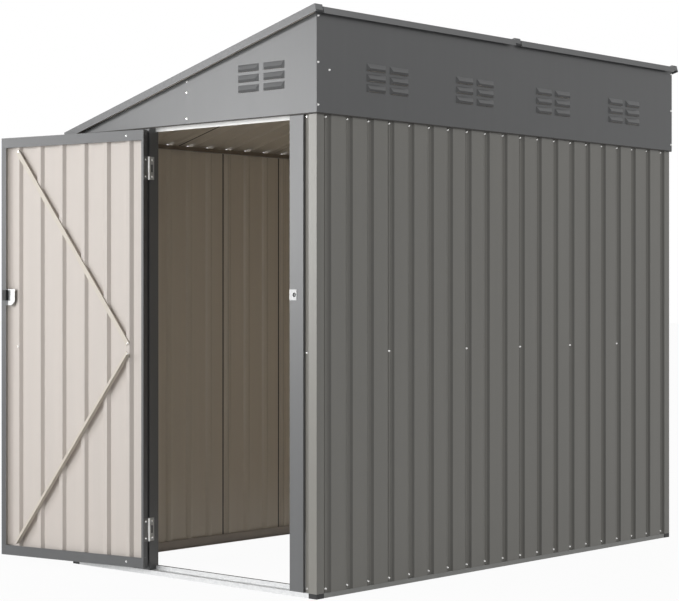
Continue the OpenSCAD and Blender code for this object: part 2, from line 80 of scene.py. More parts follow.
spangle_size = 9 * mm
galvanised, tree, shader = new_material("galvanised_steel")
shader.inputs["Metallic"].default_value = 0.35
place = add(tree, "ShaderNodeTexCoord").outputs["Object"]
spangle = add(tree, "ShaderNodeTexVoronoi", {"Vector": place, "Scale": 1 / spangle_size})
grey = add(tree, "ShaderNodeSeparateColor", {"Color": spangle.outputs["Color"]})
tone = add(tree, "ShaderNodeMix", {
    0: grey.outputs["Red"], 6: linear("D8D9DA"), 7: linear("E2E3E3"),
}, data_type="RGBA")
gloss = add(tree, "ShaderNodeMapRange", {"Value": grey.outputs["Green"], "To Min": 0.46, "To Max": 0.54})
tree.links.new(tone.outputs[2], shader.inputs["Base Color"])
tree.links.new(gloss.outputs["Result"], shader.inputs["Roughness"])
dress(galvanised, "front_sill", "roof_beam")


# Corner feet: black caps that close the ends of the base rails under each corner.
# Moulded polypropylene with a fine sparked grain, so they look dull and almost
# without highlights.
grain_size = 1.2 * mm
grain_depth = 0.1 * mm
black_plastic, tree, shader = new_material("moulded_polypropylene")
shader.inputs["IOR"].default_value = 1.49
place = add(tree, "ShaderNodeTexCoord").outputs["Object"]
grain = add(tree, "ShaderNodeTexNoise", {"Vector": place, "Scale": 1 / grain_size, "Detail": 3})
tone = add(tree, "ShaderNodeMix", {
    0: grain.outputs["Fac"], 6: linear("161616"), 7: linear("232323"),
}, data_type="RGBA")
gloss = add(tree, "ShaderNodeMapRange", {"Value": grain.outputs["Fac"], "To Min": 0.45, "To Max": 0.65})
bump = add(tree, "ShaderNodeBump", {
    "Height": grain.outputs["Fac"], "Strength": 0.3, "Distance": grain_depth,
})
tree.links.new(tone.outputs[2], shader.inputs["Base Color"])
tree.links.new(gloss.outputs["Result"], shader.inputs["Roughness"])
tree.links.new(bump.outputs["Normal"], shader.inputs["Normal"])
dress(black_plastic, "corner_feet")


# Walls and corner pieces: corrugated sheet, lapped in the grooves and screwed to the rails.
# Pre-painted steel, satin warm grey outside and cream inside, roll coated before it was formed:
# the colour has faint lengthwise streaks, and the sides of the grooves are painted darker as painted
# shade.
wall_low, wall_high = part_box("corner_back_left")[0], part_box("corner_front_right")[1]
x_low, x_high = wall_low.x, wall_high.x
y_front, y_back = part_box("corner_front_right")[0].y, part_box("corner_back_left")[1].y
sheet_bottom, wall_top = wall_low.z, wall_high.z
plan_middle = Vector(((x_low + x_high) / 2, (y_front + y_back) / 2, 0))
plan_half = Vector(((x_high - x_low) / 2, (y_back - y_front) / 2, 0))
cream = "D0C8C1"
# The cream inside the walls, gables, fascia and roof is paler and warmer than the door's cream: partly
# the paint's colour, partly painted bounce light in the shaded inside.
inside_cream_with_painted_bounce_light = "E2D9CB"
streak_width = 40 * mm
streak_length = 900 * mm
peel_size = 2.5 * mm
peel_depth = 0.05 * mm
tone_spread = 0.05
gloss_spread = 0.035
turned_away = -0.3


def outer_of_walls(tree):
    coord = add(tree, "ShaderNodeTexCoord")
    from_middle = add(tree, "ShaderNodeVectorMath", {
        0: coord.outputs["Object"], 1: plan_middle,
    }, operation="SUBTRACT")
    side = add(tree, "ShaderNodeVectorMath", {0: from_middle.outputs[0]}, operation="SIGN")
    away = add(tree, "ShaderNodeVectorMath", {
        0: side.outputs[0], 1: coord.outputs["Normal"],
    }, operation="MULTIPLY")
    reach = add(tree, "ShaderNodeVectorMath", {0: from_middle.outputs[0]}, operation="ABSOLUTE")
    past = add(tree, "ShaderNodeVectorMath", {0: reach.outputs[0], 1: plan_half}, operation="SUBTRACT")
    away_xyz = add(tree, "ShaderNodeSeparateXYZ", {0: away.outputs[0]})
    past_xyz = add(tree, "ShaderNodeSeparateXYZ", {0: past.outputs[0]})
    long_wall = add(tree, "ShaderNodeMath", {
        0: past_xyz.outputs["X"], 1: past_xyz.outputs["Y"],
    }, operation="GREATER_THAN")
    return add(tree, "ShaderNodeMix", {
        0: long_wall.outputs[0], 2: away_xyz.outputs["Y"], 3: away_xyz.outputs["X"],
    }).outputs[0]


def coat(tree, colour):
    return linear(colour) if isinstance(colour, str) else colour(tree)


def painted_steel(name, outer, inner=inside_cream_with_painted_bounce_light, outer_face=outer_of_walls, roughness=0.305):
    material, tree, shader = new_material(name)
    is_outer = add(tree, "ShaderNodeMath", {
        0: outer_face(tree), 1: turned_away,
    }, operation="GREATER_THAN")
    place = add(tree, "ShaderNodeTexCoord").outputs["Object"]
    streak_place = add(tree, "ShaderNodeMapping", {
        "Vector": place, "Scale": (1 / streak_width, 1 / streak_width, 1 / streak_length),
    })
    streak = add(tree, "ShaderNodeTexNoise", {
        "Vector": streak_place.outputs[0], "Scale": 1, "Detail": 3,
    })
    peel = add(tree, "ShaderNodeTexNoise", {"Vector": place, "Scale": 1 / peel_size, "Detail": 1})
    paint = add(tree, "ShaderNodeMix", {
        0: is_outer.outputs[0], 6: coat(tree, inner), 7: coat(tree, outer),
    }, data_type="RGBA")
    level = add(tree, "ShaderNodeMapRange", {
        "Value": streak.outputs["Fac"], "To Min": 1 - tone_spread, "To Max": 1 + tone_spread,
    })
    tone = add(tree, "ShaderNodeHueSaturation", {
        "Color": paint.outputs[2], "Value": level.outputs["Result"],
    })
    gloss = add(tree, "ShaderNodeMapRange", {
        "Value": streak.outputs["Fac"],
        "To Min": roughness - gloss_spread, "To Max": roughness + gloss_spread,
    })
    bump = add(tree, "ShaderNodeBump", {
        "Height": peel.outputs["Fac"], "Strength": 0.08, "Distance": peel_depth,
    })
    tree.links.new(tone.outputs["Color"], shader.inputs["Base Color"])
    tree.links.new(gloss.outputs["Result"], shader.inputs["Roughness"])
    tree.links.new(bump.outputs["Normal"], shader.inputs["Normal"])
    return material


warm_grey = "8F8D87"
# The darker grey on the sides of the grooves is painted shade.
groove_painted_shade_grey = "7C7A75"
flat_lean, slope_lean = 0.2, 0.7


def grey_with_painted_groove_shade(tree):
    normal = add(tree, "ShaderNodeTexCoord").outputs["Normal"]
    lean = add(tree, "ShaderNodeVectorMath", {0: normal}, operation="ABSOLUTE")
    lean = add(tree, "ShaderNodeSeparateXYZ", {0: lean.outputs[0]})
    lean = add(tree, "ShaderNodeMath", {0: lean.outputs["X"], 1: lean.outputs["Y"]}, operation="MINIMUM")
    share = add(tree, "ShaderNodeMapRange", {
        "Value": lean.outputs[0], "From Min": flat_lean, "From Max": slope_lean,
    })
    return add(tree, "ShaderNodeMix", {
        0: share.outputs["Result"], 6: linear(warm_grey), 7: linear(groove_painted_shade_grey),
    }, data_type="RGBA").outputs[2]


wall_paint = painted_steel("painted_steel_warm_grey", grey_with_painted_groove_shade)
dress(
    wall_paint, "wall_right", "wall_left", "wall_back", "wall_front",
    "corner_front_right", "corner_front_left", "corner_back_right", "corner_back_left",
)


# Rails: angles that the walls stand on and channels behind the heads of the sheets, screwed to them.
# Roll-formed steel, pale grey outside; the brown-grey inside the shed is painted shade. The head rail
# over the doorway is painted white, painted light where it lies in the shade under the gable.
# The rails' brown-grey inner colour is painted shade.
rail_paint_with_painted_inner_shade = painted_steel("rail_steel_with_painted_inner_shade", "A9A9A6", inner="A3978A")
head_rail_painted_light = painted_steel("head_rail_white_as_painted_light", "FAFAF8", inner="FAFAF8")
dress(
    rail_paint_with_painted_inner_shade, "base_rail_right", "base_rail_left", "base_rail_back",
    "top_rail_right", "top_rail_left", "top_rail_back",
)
# The head rail's white is painted light on a rail that lies in shade.
dress(head_rail_painted_light, "head_rail")


# Door jambs: folded channels each side of the doorway, riveted to the sill and the head rail.
# The same steel in a cooler, darker satin grey on both faces.
cool_grey = "6C6D6E"
trim_paint = painted_steel("painted_steel_grey", cool_grey, inner=cool_grey)
dress(trim_paint, "jamb_lock", "jamb_hinge")


# Fascia and gables: flat sheets above the walls with louvres pressed out of them.
# Grey outside and cream inside, as the walls are, with their lower edges folded in. The fascia's grey
# is a shade darker than the gables', as painted shade, and the lip that turns in under each louvre is
# painted darker still as the shadow under the louvre, most of all on the fascia.
# The fascia's darker grey and the dark lips under the louvres are painted shade.
fascia_shaded_grey = "666768"
fascia_lip_shade, gable_lip_shade = "303031", "525354"
lip_fall, lip_spread = -0.49, 0.15


def louvred_with_painted_lip_shade(face_hex, lip_shade_hex):
    def colour(tree):
        normal = add(tree, "ShaderNodeTexCoord").outputs["Normal"]
        fall = add(tree, "ShaderNodeSeparateXYZ", {0: normal}).outputs["Z"]
        lip = add(tree, "ShaderNodeMath", {0: fall, 1: lip_fall, 2: lip_spread}, operation="COMPARE")
        return add(tree, "ShaderNodeMix", {
            0: lip.outputs[0], 6: linear(face_hex), 7: linear(lip_shade_hex),
        }, data_type="RGBA").outputs[2]
    return colour


fascia_paint = painted_steel("painted_steel_fascia", louvred_with_painted_lip_shade(fascia_shaded_grey, fascia_lip_shade))
gable_paint = painted_steel("painted_steel_gable", louvred_with_painted_lip_shade(cool_grey, gable_lip_shade))
dress(fascia_paint, "fascia_right")
dress(gable_paint, "gable_front_high", "gable_front_low", "gable_back_high", "gable_back_low")


# Roof: ribbed sheets from the low eave to the fascia, grey above and cream below inside the walls,
# with folded trims along both ends, over the joint in the middle and along the high edge. Past the
# high wall the underside is painted grey as well, as painted shade.
def outer_or_shaded_of_roof(tree):
    coord = add(tree, "ShaderNodeTexCoord")
    normal = add(tree, "ShaderNodeSeparateXYZ", {0: coord.outputs["Normal"]})
    place = add(tree, "ShaderNodeSeparateXYZ", {0: coord.outputs["Object"]})
    # Past the high wall the underside takes the grey: painted shade.
    past_wall = add(tree, "ShaderNodeMath", {0: place.outputs["X"], 1: x_high}, operation="GREATER_THAN")
    return add(tree, "ShaderNodeMath", {0: normal.outputs["Z"], 1: past_wall.outputs[0]}).outputs[0]


roof_paint = painted_steel("painted_steel_roof", cool_grey, outer_face=outer_or_shaded_of_roof)
dress(roof_paint, "roof_sheets_front", "roof_sheets_back")
dress(trim_paint, "rake_trim_front", "rake_trim_back", "high_trim", "joint_cap")


# Door leaf: a folded frame round two lapped corrugated sheets, with two braces inside. Its frame is
# a darker copy of the jambs' grey, as painted shade, and its lock stile darker still.
# The sheets are warm grey outside and a duller cream inside, as is the inner side of the lock stile,
# and the braces are a deeper cream.
hinge_stile, lock_stile = [
    sum(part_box(name), Vector()) / 2 for name in ("door_stile_hinge", "door_stile_lock")
]
along_door = (lock_stile - hinge_stile).normalized()
along_door.z = 0
x_axis, y_axis, z_axis = Vector((1, 0, 0)), Vector((0, 1, 0)), Vector((0, 0, 1))
door_out = along_door.cross(z_axis)


def turned_to(direction):
    def outer_face(tree):
        normal = add(tree, "ShaderNodeTexCoord").outputs["Normal"]
        facing = add(tree, "ShaderNodeVectorMath", {0: normal, 1: direction}, operation="DOT_PRODUCT")
        return facing.outputs["Value"]
    return outer_face


door_paint = painted_steel(
    "painted_steel_door", warm_grey, inner=cream, outer_face=turned_to(door_out), roughness=0.5
)
# The door frame's and lock stile's darker greys are painted shade.
door_frame_shaded_grey = "5E5F60"
frame_paint = painted_steel("painted_steel_door_frame", door_frame_shaded_grey, inner=door_frame_shaded_grey, roughness=0.36)
lock_stile_shaded_grey = "58595A"
stile_paint = painted_steel(
    "painted_steel_lock_stile", lock_stile_shaded_grey, inner=cream, outer_face=turned_to(along_door), roughness=0.36
)
brace_cream = "D2CABE"
brace_paint = painted_steel("painted_steel_cream", brace_cream, inner=brace_cream, roughness=0.5)
dress(door_paint, "door_sheet")
dress(frame_paint, "door_rail_top", "door_rail_bottom", "door_stile_hinge")
dress(stile_paint, "door_stile_lock")
dress(brace_paint, "door_brace_top", "door_brace_bottom")
dress(black_plastic, "door_lock", "door_handle")


# Stile roll: the inner lip of the lock stile rolls back in a hollow curve until it meets the sheet.
# It is the stile's own pre-painted steel, grey where it leaves the lip and cream beside the sheet.
clear = 300 * mm
roll_run = 20 * mm
roll_steps = 8
roll_inset = 0.3 * mm
door_in = -door_out


def seat(point, direction, *nodes):
    start = point - direction * clear
    hits = [frame["nodes"][name].ray_cast(start, direction) for name in nodes]
    found = [hit[1] for hit in hits if hit[0]]
    return (min(found, key=lambda hit: (hit - start).length), -direction) if found else None


def bars(name, material, ends):
    points, faces = [], []
    for near_end, far_end in ends:
        first, count = len(points), len(near_end)
        points += near_end + far_end
        for i in range(count):
            j = (i + 1) % count
            faces.append([first + i, first + j, first + j + count, first + i + count])
        faces.append([first + i for i in reversed(range(count))])
        faces.append([first + count + i for i in range(count)])
    mesh = bpy.data.meshes.new(name)
    mesh.from_pydata(points, [], faces)
    mesh.materials.append(material)
    shape = bmesh.new()
    shape.from_mesh(mesh)
    bmesh.ops.recalc_face_normals(shape, faces=shape.faces)
    shape.to_mesh(mesh)
    shape.free()
    made = bpy.data.objects.new(name, mesh)
    bpy.context.scene.collection.objects.link(made)
    return made


stile_corners = [v.co - hinge_stile for v in frame["nodes"]["door_stile_lock"].data.vertices]
lip_depth = max(co.dot(door_in) for co in stile_corners)
lip_edge = min(co.dot(along_door) for co in stile_corners if co.dot(door_in) > 0)
roll_foot = seat(hinge_stile + along_door * (lip_edge - roll_run), door_out, "door_sheet")[0]
sheet_depth = (roll_foot - hinge_stile).dot(door_in)
profile = [(lip_edge + roll_inset, sheet_depth), (lip_edge + roll_inset, lip_depth - roll_inset)]
for step in range(roll_steps + 1):
    turn = math.radians(90) * step / roll_steps
    fall = (lip_depth - roll_inset - sheet_depth) * (1 - math.sin(turn))
    profile.append((lip_edge - roll_run * (1 - math.cos(turn)), sheet_depth + fall))
roll_ends = []
for z in (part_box("door_stile_lock")[0].z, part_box("door_stile_lock")[1].z):
    foot = Vector((hinge_stile.x, hinge_stile.y, z))
    roll_ends.append([foot + along_door * along + door_in * depth for along, depth in profile])
roll = bars("stile_roll", door_paint, [roll_ends])
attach(roll, "door")


# Brace lips: the outer edge of each brace, folded up off the leaf to stiffen the strap.
# The same cream steel as the braces, in one piece with them on the real door.
lip_thickness = 1.2 * mm
top_lip, bottom_lip = 2 * mm, 14 * mm
lip_ends = []
for name, side, lip_height in (("door_brace_top", 1, top_lip), ("door_brace_bottom", -1, bottom_lip)):
    distinct = {tuple(round(c, 6) for c in v.co) for v in frame["nodes"][name].data.vertices}
    corners = sorted((Vector(corner) for corner in distinct), key=lambda co: co.z)
    low_end, high_end = (sum(group, Vector()) / len(group) for group in (corners[:4], corners[-4:]))
    run = (high_end - low_end).normalized()
    across = run.cross(door_in)
    across *= side * math.copysign(1, across.z)
    reach = max((co - low_end).dot(across) for co in corners)
    rise = max((co - low_end).dot(door_in) for co in corners)
    feet = [end + across * reach + door_in * rise for end in (low_end, high_end)]
    back, up = -across * lip_thickness, door_in * lip_height
    lip_ends.append([[foot, foot + back, foot + back + up, foot + up] for foot in feet])
lips = bars("brace_lips", brace_paint, lip_ends)
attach(lips, "door")


# Hinges, strike plate and lock plate: stamped steel, zinc plated after stamping, with cloudy patches.
# The lock plate is painted over where it lies on the stile. The strike plate has a near-black disc
# painted round its bolt hole as the shade in the hole. The hinges' leaves are dull, those on the jamb
# painted pale against the shade of the reveal, and their barrels whiter bright metal, partly a
# painted highlight.
cloud_size = 14 * mm
door_axis = Vector((frame["joints"][0]["pos_m"][0], frame["joints"][0]["pos_m"][1], 0))
barrel_radius = 4.6 * mm


def cloudy(tree, dark_hex, light_hex):
    place = add(tree, "ShaderNodeTexCoord").outputs["Object"]
    cloud = add(tree, "ShaderNodeTexNoise", {"Vector": place, "Scale": 1 / cloud_size, "Detail": 4})
    tone = add(tree, "ShaderNodeMix", {
        0: cloud.outputs["Fac"], 6: linear(dark_hex), 7: linear(light_hex),
    }, data_type="RGBA")
    return cloud.outputs["Fac"], tone.outputs[2]


def near_line(tree, middle, across, radius):
    place = add(tree, "ShaderNodeTexCoord").outputs["Object"]
    offset = add(tree, "ShaderNodeVectorMath", {0: place, 1: middle}, operation="SUBTRACT")
    flat = add(tree, "ShaderNodeVectorMath", {0: offset.outputs[0], 1: across}, operation="MULTIPLY")
    reach = add(tree, "ShaderNodeVectorMath", {0: flat.outputs[0]}, operation="LENGTH")
    near = add(tree, "ShaderNodeMath", {0: reach.outputs["Value"], 1: radius}, operation="LESS_THAN")
    return near.outputs[0]


def zinc_plated(name, dark_hex, light_hex):
    material, tree, shader = new_material(name)
    cloud, tone = cloudy(tree, dark_hex, light_hex)
    gloss = add(tree, "ShaderNodeMapRange", {"Value": cloud, "To Min": 0.28, "To Max": 0.42})
    shader.inputs["Metallic"].default_value = 1
    tree.links.new(tone, shader.inputs["Base Color"])
    tree.links.new(gloss.outputs["Result"], shader.inputs["Roughness"])
    return material, tree, shader, tone


# Hinge steel: a whiter metallic barrel, partly a painted highlight, beside the leaves.
def hinge_steel(name, dark_hex, light_hex):
    material, tree, shader = new_material(name)
    barrel = near_line(tree, door_axis, (1, 1, 0), barrel_radius)
    tone = add(tree, "ShaderNodeMix", {
        0: barrel, 6: cloudy(tree, dark_hex, light_hex)[1], 7: linear("F0F0EE"),
    }, data_type="RGBA")
    tree.links.new(tone.outputs[2], shader.inputs["Base Color"])
    tree.links.new(barrel, shader.inputs["Metallic"])
    shader.inputs["Roughness"].default_value = 0.35
    return material


plate_steel, tree, shader, plating = zinc_plated("zinc_plated_steel_part_painted", "8E8F90", "AAAAA8")
place = add(tree, "ShaderNodeTexCoord").outputs["Object"]
across_plate = add(tree, "ShaderNodeSeparateXYZ", {0: place}).outputs["X"]
case_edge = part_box("door_lock")[1].x
bare = add(tree, "ShaderNodeMath", {0: across_plate, 1: case_edge}, operation="GREATER_THAN").outputs[0]
tone = add(tree, "ShaderNodeMix", {0: bare, 6: linear(lock_stile_shaded_grey), 7: plating}, data_type="RGBA")
tree.links.new(tone.outputs[2], shader.inputs["Base Color"])
tree.links.new(bare, shader.inputs["Metallic"])
dress(plate_steel, "door_lock_plate")
strike_low, strike_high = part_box("strike_plate")
hole_share = 2 / 3
hole_shade_radius = 7.5 * mm
hole = Vector((
    strike_low.x + hole_share * (strike_high.x - strike_low.x), 0, (strike_low.z + strike_high.z) / 2
))
strike_steel, tree, shader, plating = zinc_plated("zinc_plated_steel_with_painted_hole_shade", "7A7B7C", "949493")
# A near-black disc round the bolt hole: painted shade of the hole.
hole_shade = near_line(tree, hole, (1, 0, 1), hole_shade_radius)
tone = add(tree, "ShaderNodeMix", {0: hole_shade, 6: plating, 7: linear("1C1C1C")}, data_type="RGBA")
tree.links.new(tone.outputs[2], shader.inputs["Base Color"])
dress(strike_steel, "strike_plate")
# The jamb hinges' pale leaves are painted light against the shade of the reveal.
dress(hinge_steel("jamb_hinge_leaf_painted_light_barrel_highlight", "C0C0BE", "D4D4D2"), "jamb_hinges")
dress(hinge_steel("door_hinge_dull_leaf_barrel_highlight", "6A6A69", "8C8C8A"), "door_hinges")


# Gap shadows: thin near-black strips with a faint mottle, painted shadow of the open gaps at the free
# edge of the inner sheet at each lap inside the walls and the roof and under the lower edges of the
# fascia and the gables. A strip of the same dark also runs along the back of the sill's stop.
long_grooves = 20
pitch_long = (y_back - y_front) / long_grooves
groove_y = [y_front + (k + 0.5) * pitch_long for k in range(long_grooves)]
long_laps = (3, 7, 10, 13, 16)
gap_shadow_width = 6 * mm
gap_shadow_thickness = 1.2 * mm
gap_shadow_end = 5 * mm
past_groove = 28 * mm
roof_sheet_pitches = 5
gap_shadow_lines = []
for k in long_laps:
    for x, name, out, shift in (
        (x_low, "wall_left", -x_axis, -past_groove), (x_high, "wall_right", x_axis, past_groove),
    ):
        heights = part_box(name)[0].z + gap_shadow_end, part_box(name)[1].z - gap_shadow_end
        gap_shadow_lines.append([seat(Vector((x, groove_y[k] + shift, z)), out, name) for z in heights])
for k in (roof_sheet_pitches, long_grooves - roof_sheet_pitches):
    y = y_front + k * pitch_long - gap_shadow_width / 2
    gap_shadow_lines.append([
        seat(Vector((x, y, wall_top + clear / 2)), z_axis, "roof_sheets_front", "roof_sheets_back")
        for x in (x_low + gap_shadow_end, x_high - gap_shadow_end)
    ])
stop_back = 38 * mm
door_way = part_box("jamb_hinge")[1].x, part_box("jamb_lock")[0].x
sill_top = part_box("front_sill")[1].z
gap_shadow_lines.append([
    seat(Vector((x, y_front + stop_back - gap_shadow_width / 2, sill_top)), -z_axis, "front_sill")
    for x in (door_way[0] + gap_shadow_end, door_way[1] - gap_shadow_end)
])
gap_shadow_section = ((-0.5, 0), (0.5, 0), (0.35, 1), (-0.35, 1))
gap_shadow_ends = [
    [
        [spot + y_axis * across * gap_shadow_width + inward * up * gap_shadow_thickness for across, up in gap_shadow_section]
        for spot, inward in line
    ]
    for line in gap_shadow_lines
]
edge_drop = 4 * mm
edge_depth = 5 * mm
edge_inset = 0.5 * mm
over_edge = 20 * mm
edge_gap = 0.05 * mm
for names, inward, along in (
    (("gable_front_low", "gable_front_high"), y_axis, x_axis),
    (("gable_back_low", "gable_back_high"), -y_axis, x_axis),
    (("fascia_right", "fascia_right"), -x_axis, y_axis),
):
    low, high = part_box(names[0])[0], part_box(names[1])[1]
    beside = (low + high) / 2 - inward * plan_half.length
    face = seat(Vector((beside.x, beside.y, wall_top + over_edge)), inward, *names)[0]
    edge_ends = []
    for end in (low, high):
        outer = face + along * (end - face).dot(along) + inward * edge_inset
        outer.z = wall_top - edge_gap
        inner, drop = outer + inward * edge_depth, -z_axis * edge_drop
        edge_ends.append([outer, outer + drop, inner + drop, inner])
    gap_shadow_ends.append(edge_ends)
mottle_size = 60 * mm
# The near-black strips are painted shadow of the gaps.
gap_shadow_paint, tree, shader = new_material("painted_gap_shadow")
place = add(tree, "ShaderNodeTexCoord").outputs["Object"]
mottle = add(tree, "ShaderNodeTexNoise", {"Vector": place, "Scale": 1 / mottle_size, "Detail": 3})
tone = add(tree, "ShaderNodeMix", {
    0: mottle.outputs["Fac"], 6: linear("201D1A"), 7: linear("35312C"),
}, data_type="RGBA")
tree.links.new(tone.outputs[2], shader.inputs["Base Color"])
shader.inputs["Roughness"].default_value = 0.6
gap_shadows = bars("painted_gap_shadows", gap_shadow_paint, gap_shadow_ends)
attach(gap_shadows, "shed")


# Screws and rivets: self-drilling hex heads on a pressed flange, in bright zinc, hold the sheets to
# the rails at every groove, the laps at half height, the fascia's ends, the gable seams, the roof,
# the sill and the door's rails and braces. Flat rivets hold the hinges, whose leaves close on them.
back_grooves = 11
back_laps = (0, 4, 7, 10)
pitch_back = (x_high - x_low) / back_grooves
above_foot, below_head = 13 * mm, 11 * mm
foot_row = sheet_bottom + above_foot
lap_row = (sheet_bottom + wall_top) / 2


def wall_screws(places, laps, direction, *nodes):
    head_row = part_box(nodes[0])[1].z - below_head
    rows = [(place, z) for place in places for z in (foot_row, head_row)]
    rows += [(places[k], lap_row) for k in laps]
    return [seat(Vector((x, y, z)), direction, *nodes) for (x, y), z in rows]


groove_x = [x_high - (k + 0.5) * pitch_back for k in range(back_grooves)]
shed_screws = wall_screws(
    [(x_high, y) for y in groove_y], long_laps, -x_axis,
    "wall_right", "corner_front_right", "corner_back_right",
)
shed_screws += wall_screws(
    [(x_low, y) for y in groove_y], long_laps, x_axis,
    "wall_left", "corner_front_left", "corner_back_left",
)
shed_screws += wall_screws(
    [(x, y_back) for x in groove_x], back_laps, -y_axis,
    "wall_back", "corner_back_right", "corner_back_left",
)
infill_grooves = 4
beside_jamb = 6 * mm
infill_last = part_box("jamb_hinge")[0].x - beside_jamb
infill_first = x_low + pitch_long / 2
infill_step = (infill_last - infill_first) / (infill_grooves - 1)
infill_x = [infill_first + k * infill_step for k in range(infill_grooves)]
shed_screws += wall_screws(
    [(x, y_front) for x in infill_x], (0, infill_grooves - 1), y_axis, "wall_front", "corner_front_left"
)
shed_screws += wall_screws([(x_high - pitch_long / 2, y_front)], (0,), y_axis, "corner_front_right")
fascia_low, fascia_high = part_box("fascia_right")
fascia_edge, fascia_foot, fascia_head = 7 * mm, 25 * mm, 12 * mm
fascia_rows = (
    fascia_low.z + fascia_foot, (fascia_low.z + fascia_high.z) / 2, fascia_high.z - fascia_head
)
for y in (fascia_low.y + fascia_edge, fascia_high.y - fascia_edge):
    for z in fascia_rows:
        shed_screws.append(seat(Vector((fascia_high.x, y, z)), -x_axis, "fascia_right"))
lone_back, lone_up = 55 * mm, 147 * mm
lone_screw = Vector((fascia_high.x, y_front + lone_back, wall_top + lone_up))
shed_screws.append(seat(lone_screw, -x_axis, "fascia_right"))
seam_rows = 18 * mm, 112 * mm, 153 * mm
seam_edge = 8 * mm
well_outside = 2
for name, direction in (("gable_front_high", y_axis), ("gable_back_high", -y_axis)):
    for z in seam_rows:
        seam = Vector((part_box(name)[0].x + seam_edge, plan_middle.y, wall_top + z))
        shed_screws.append(seat(seam - direction * well_outside, direction, name))
roof_sheets = "roof_sheets_front", "roof_sheets_back"
beside_joint = 0.12 * pitch_long
eave_edge, beam_edge = 15 * mm, 20 * mm
roof_ends = [
    seat(Vector((x, y_front + pitch_long + beside_joint, fascia_high.z)), -z_axis, *roof_sheets)[0]
    for x in (x_low, x_high)
]
roof_down = y_axis.cross(roof_ends[1] - roof_ends[0]).normalized()
for x in (x_low + eave_edge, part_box("roof_beam")[0].x + beam_edge, x_high - eave_edge):
    share = (x - roof_ends[0].x) / (roof_ends[1].x - roof_ends[0].x)
    for k in range(1, long_grooves):
        place = roof_ends[0].lerp(roof_ends[1], share)
        place.y = y_front + k * pitch_long + beside_joint
        shed_screws.append(seat(place, roof_down, *roof_sheets))
door_low, door_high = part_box("door_stile_hinge")[0].z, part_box("door_stile_hinge")[1].z
hinge_low, hinge_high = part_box("jamb_hinges")
hinge_half = 42.5 * mm
rivet_offset = 31 * mm
jamb_rivet, door_rivet = 13 * mm, 16 * mm
hinge_z = [hinge_low.z + hinge_half, hinge_high.z - hinge_half]
rivet_z = [z + offset for z in hinge_z for offset in (-rivet_offset, rivet_offset)]
shed_rivets = [
    seat(Vector((hinge_low.x, y_front + jamb_rivet, z)), -x_axis, "jamb_hinges") for z in rivet_z
]
sill_shares = 0.29, 0.79
sill_row = 49 * mm
for share in sill_shares:
    x = door_way[0] + share * (door_way[1] - door_way[0])
    shed_screws.append(seat(Vector((x, y_front + sill_row, sheet_bottom)), -z_axis, "front_sill"))

door_screws = []


def on_door(along, z, direction, *nodes):
    return seat(door_axis + along_door * along + z_axis * z, direction, *nodes)


brace_first, brace_last, sheet_screw = 84 * mm, 624 * mm, 628 * mm
brace_apart, brace_end, rail_row = 20 * mm, 16 * mm, 19 * mm
door_middle = (door_low + door_high) / 2
for along, z in (
    (brace_first, door_middle + brace_apart), (brace_first, door_middle - brace_apart),
    (brace_last, door_high - brace_end), (brace_last, door_low + brace_end),
):
    door_screws.append(on_door(along, z, door_out, "door_brace_top", "door_brace_bottom"))
for along, z in (
    (brace_first, door_high + rail_row), (brace_first, door_low - rail_row), (sheet_screw, door_middle),
):
    door_screws.append(on_door(along, z, door_out, "door_rail_top", "door_rail_bottom", "door_sheet"))
rivet_place = door_axis + door_in * door_rivet
door_rivets = [
    seat(rivet_place + z_axis * z, along_door, "door_hinges", "door_stile_hinge") for z in rivet_z
]

bright_zinc, tree, shader = new_material("bright_zinc_screws")
shader.inputs["Metallic"].default_value = 1
place = add(tree, "ShaderNodeTexCoord").outputs["Object"]
cloud = add(tree, "ShaderNodeTexNoise", {"Vector": place, "Scale": 1 / cloud_size, "Detail": 2})
tone = add(tree, "ShaderNodeMix", {
    0: cloud.outputs["Fac"], 6: linear("E6E6E4"), 7: linear("F6F6F4"),
}, data_type="RGBA")
tree.links.new(tone.outputs[2], shader.inputs["Base Color"])
shader.inputs["Roughness"].default_value = 0.18
flange_radius = 4 * mm
head_radius = 2.9 * mm
screw_flange, screw_head = 1.2 * mm, 3 * mm
rivet_flange, rivet_head = 0.9 * mm, 1.2 * mm
screw_tree = bpy.data.node_groups.new("screws_on_points", "GeometryNodeTree")
sockets = {}
for name, kind in (
    ("Points", "NodeSocketGeometry"), ("Plating", "NodeSocketMaterial"),
    ("Flange Radius", "NodeSocketFloat"), ("Flange Height", "NodeSocketFloat"),
    ("Head Radius", "NodeSocketFloat"), ("Head Height", "NodeSocketFloat"),
):
    sockets[name] = screw_tree.interface.new_socket(name, in_out="INPUT", socket_type=kind).identifier
screw_tree.interface.new_socket("Screws", in_out="OUTPUT", socket_type="NodeSocketGeometry")
given = add(screw_tree, "NodeGroupInput").outputs
flange = add(screw_tree, "GeometryNodeMeshCone", {
    "Vertices": 16, "Depth": given["Flange Height"],
    "Radius Top": given["Head Radius"], "Radius Bottom": given["Flange Radius"],
})
head = add(screw_tree, "GeometryNodeMeshCone", {
    "Vertices": 6, "Depth": given["Head Height"],
    "Radius Top": given["Head Radius"], "Radius Bottom": given["Head Radius"],
})
screw = add(screw_tree, "GeometryNodeJoinGeometry")
screw_tree.links.new(flange.outputs["Mesh"], screw.inputs[0])
screw_tree.links.new(head.outputs["Mesh"], screw.inputs[0])
facing = add(screw_tree, "GeometryNodeInputNamedAttribute", {"Name": "facing"}, data_type="FLOAT_VECTOR")
turn = add(screw_tree, "FunctionNodeAlignRotationToVector", {
    "Vector": facing.outputs["Attribute"],
}, axis="Z")
placed = add(screw_tree, "GeometryNodeInstanceOnPoints", {
    "Points": given["Points"], "Instance": screw.outputs[0], "Rotation": turn.outputs[0],
})
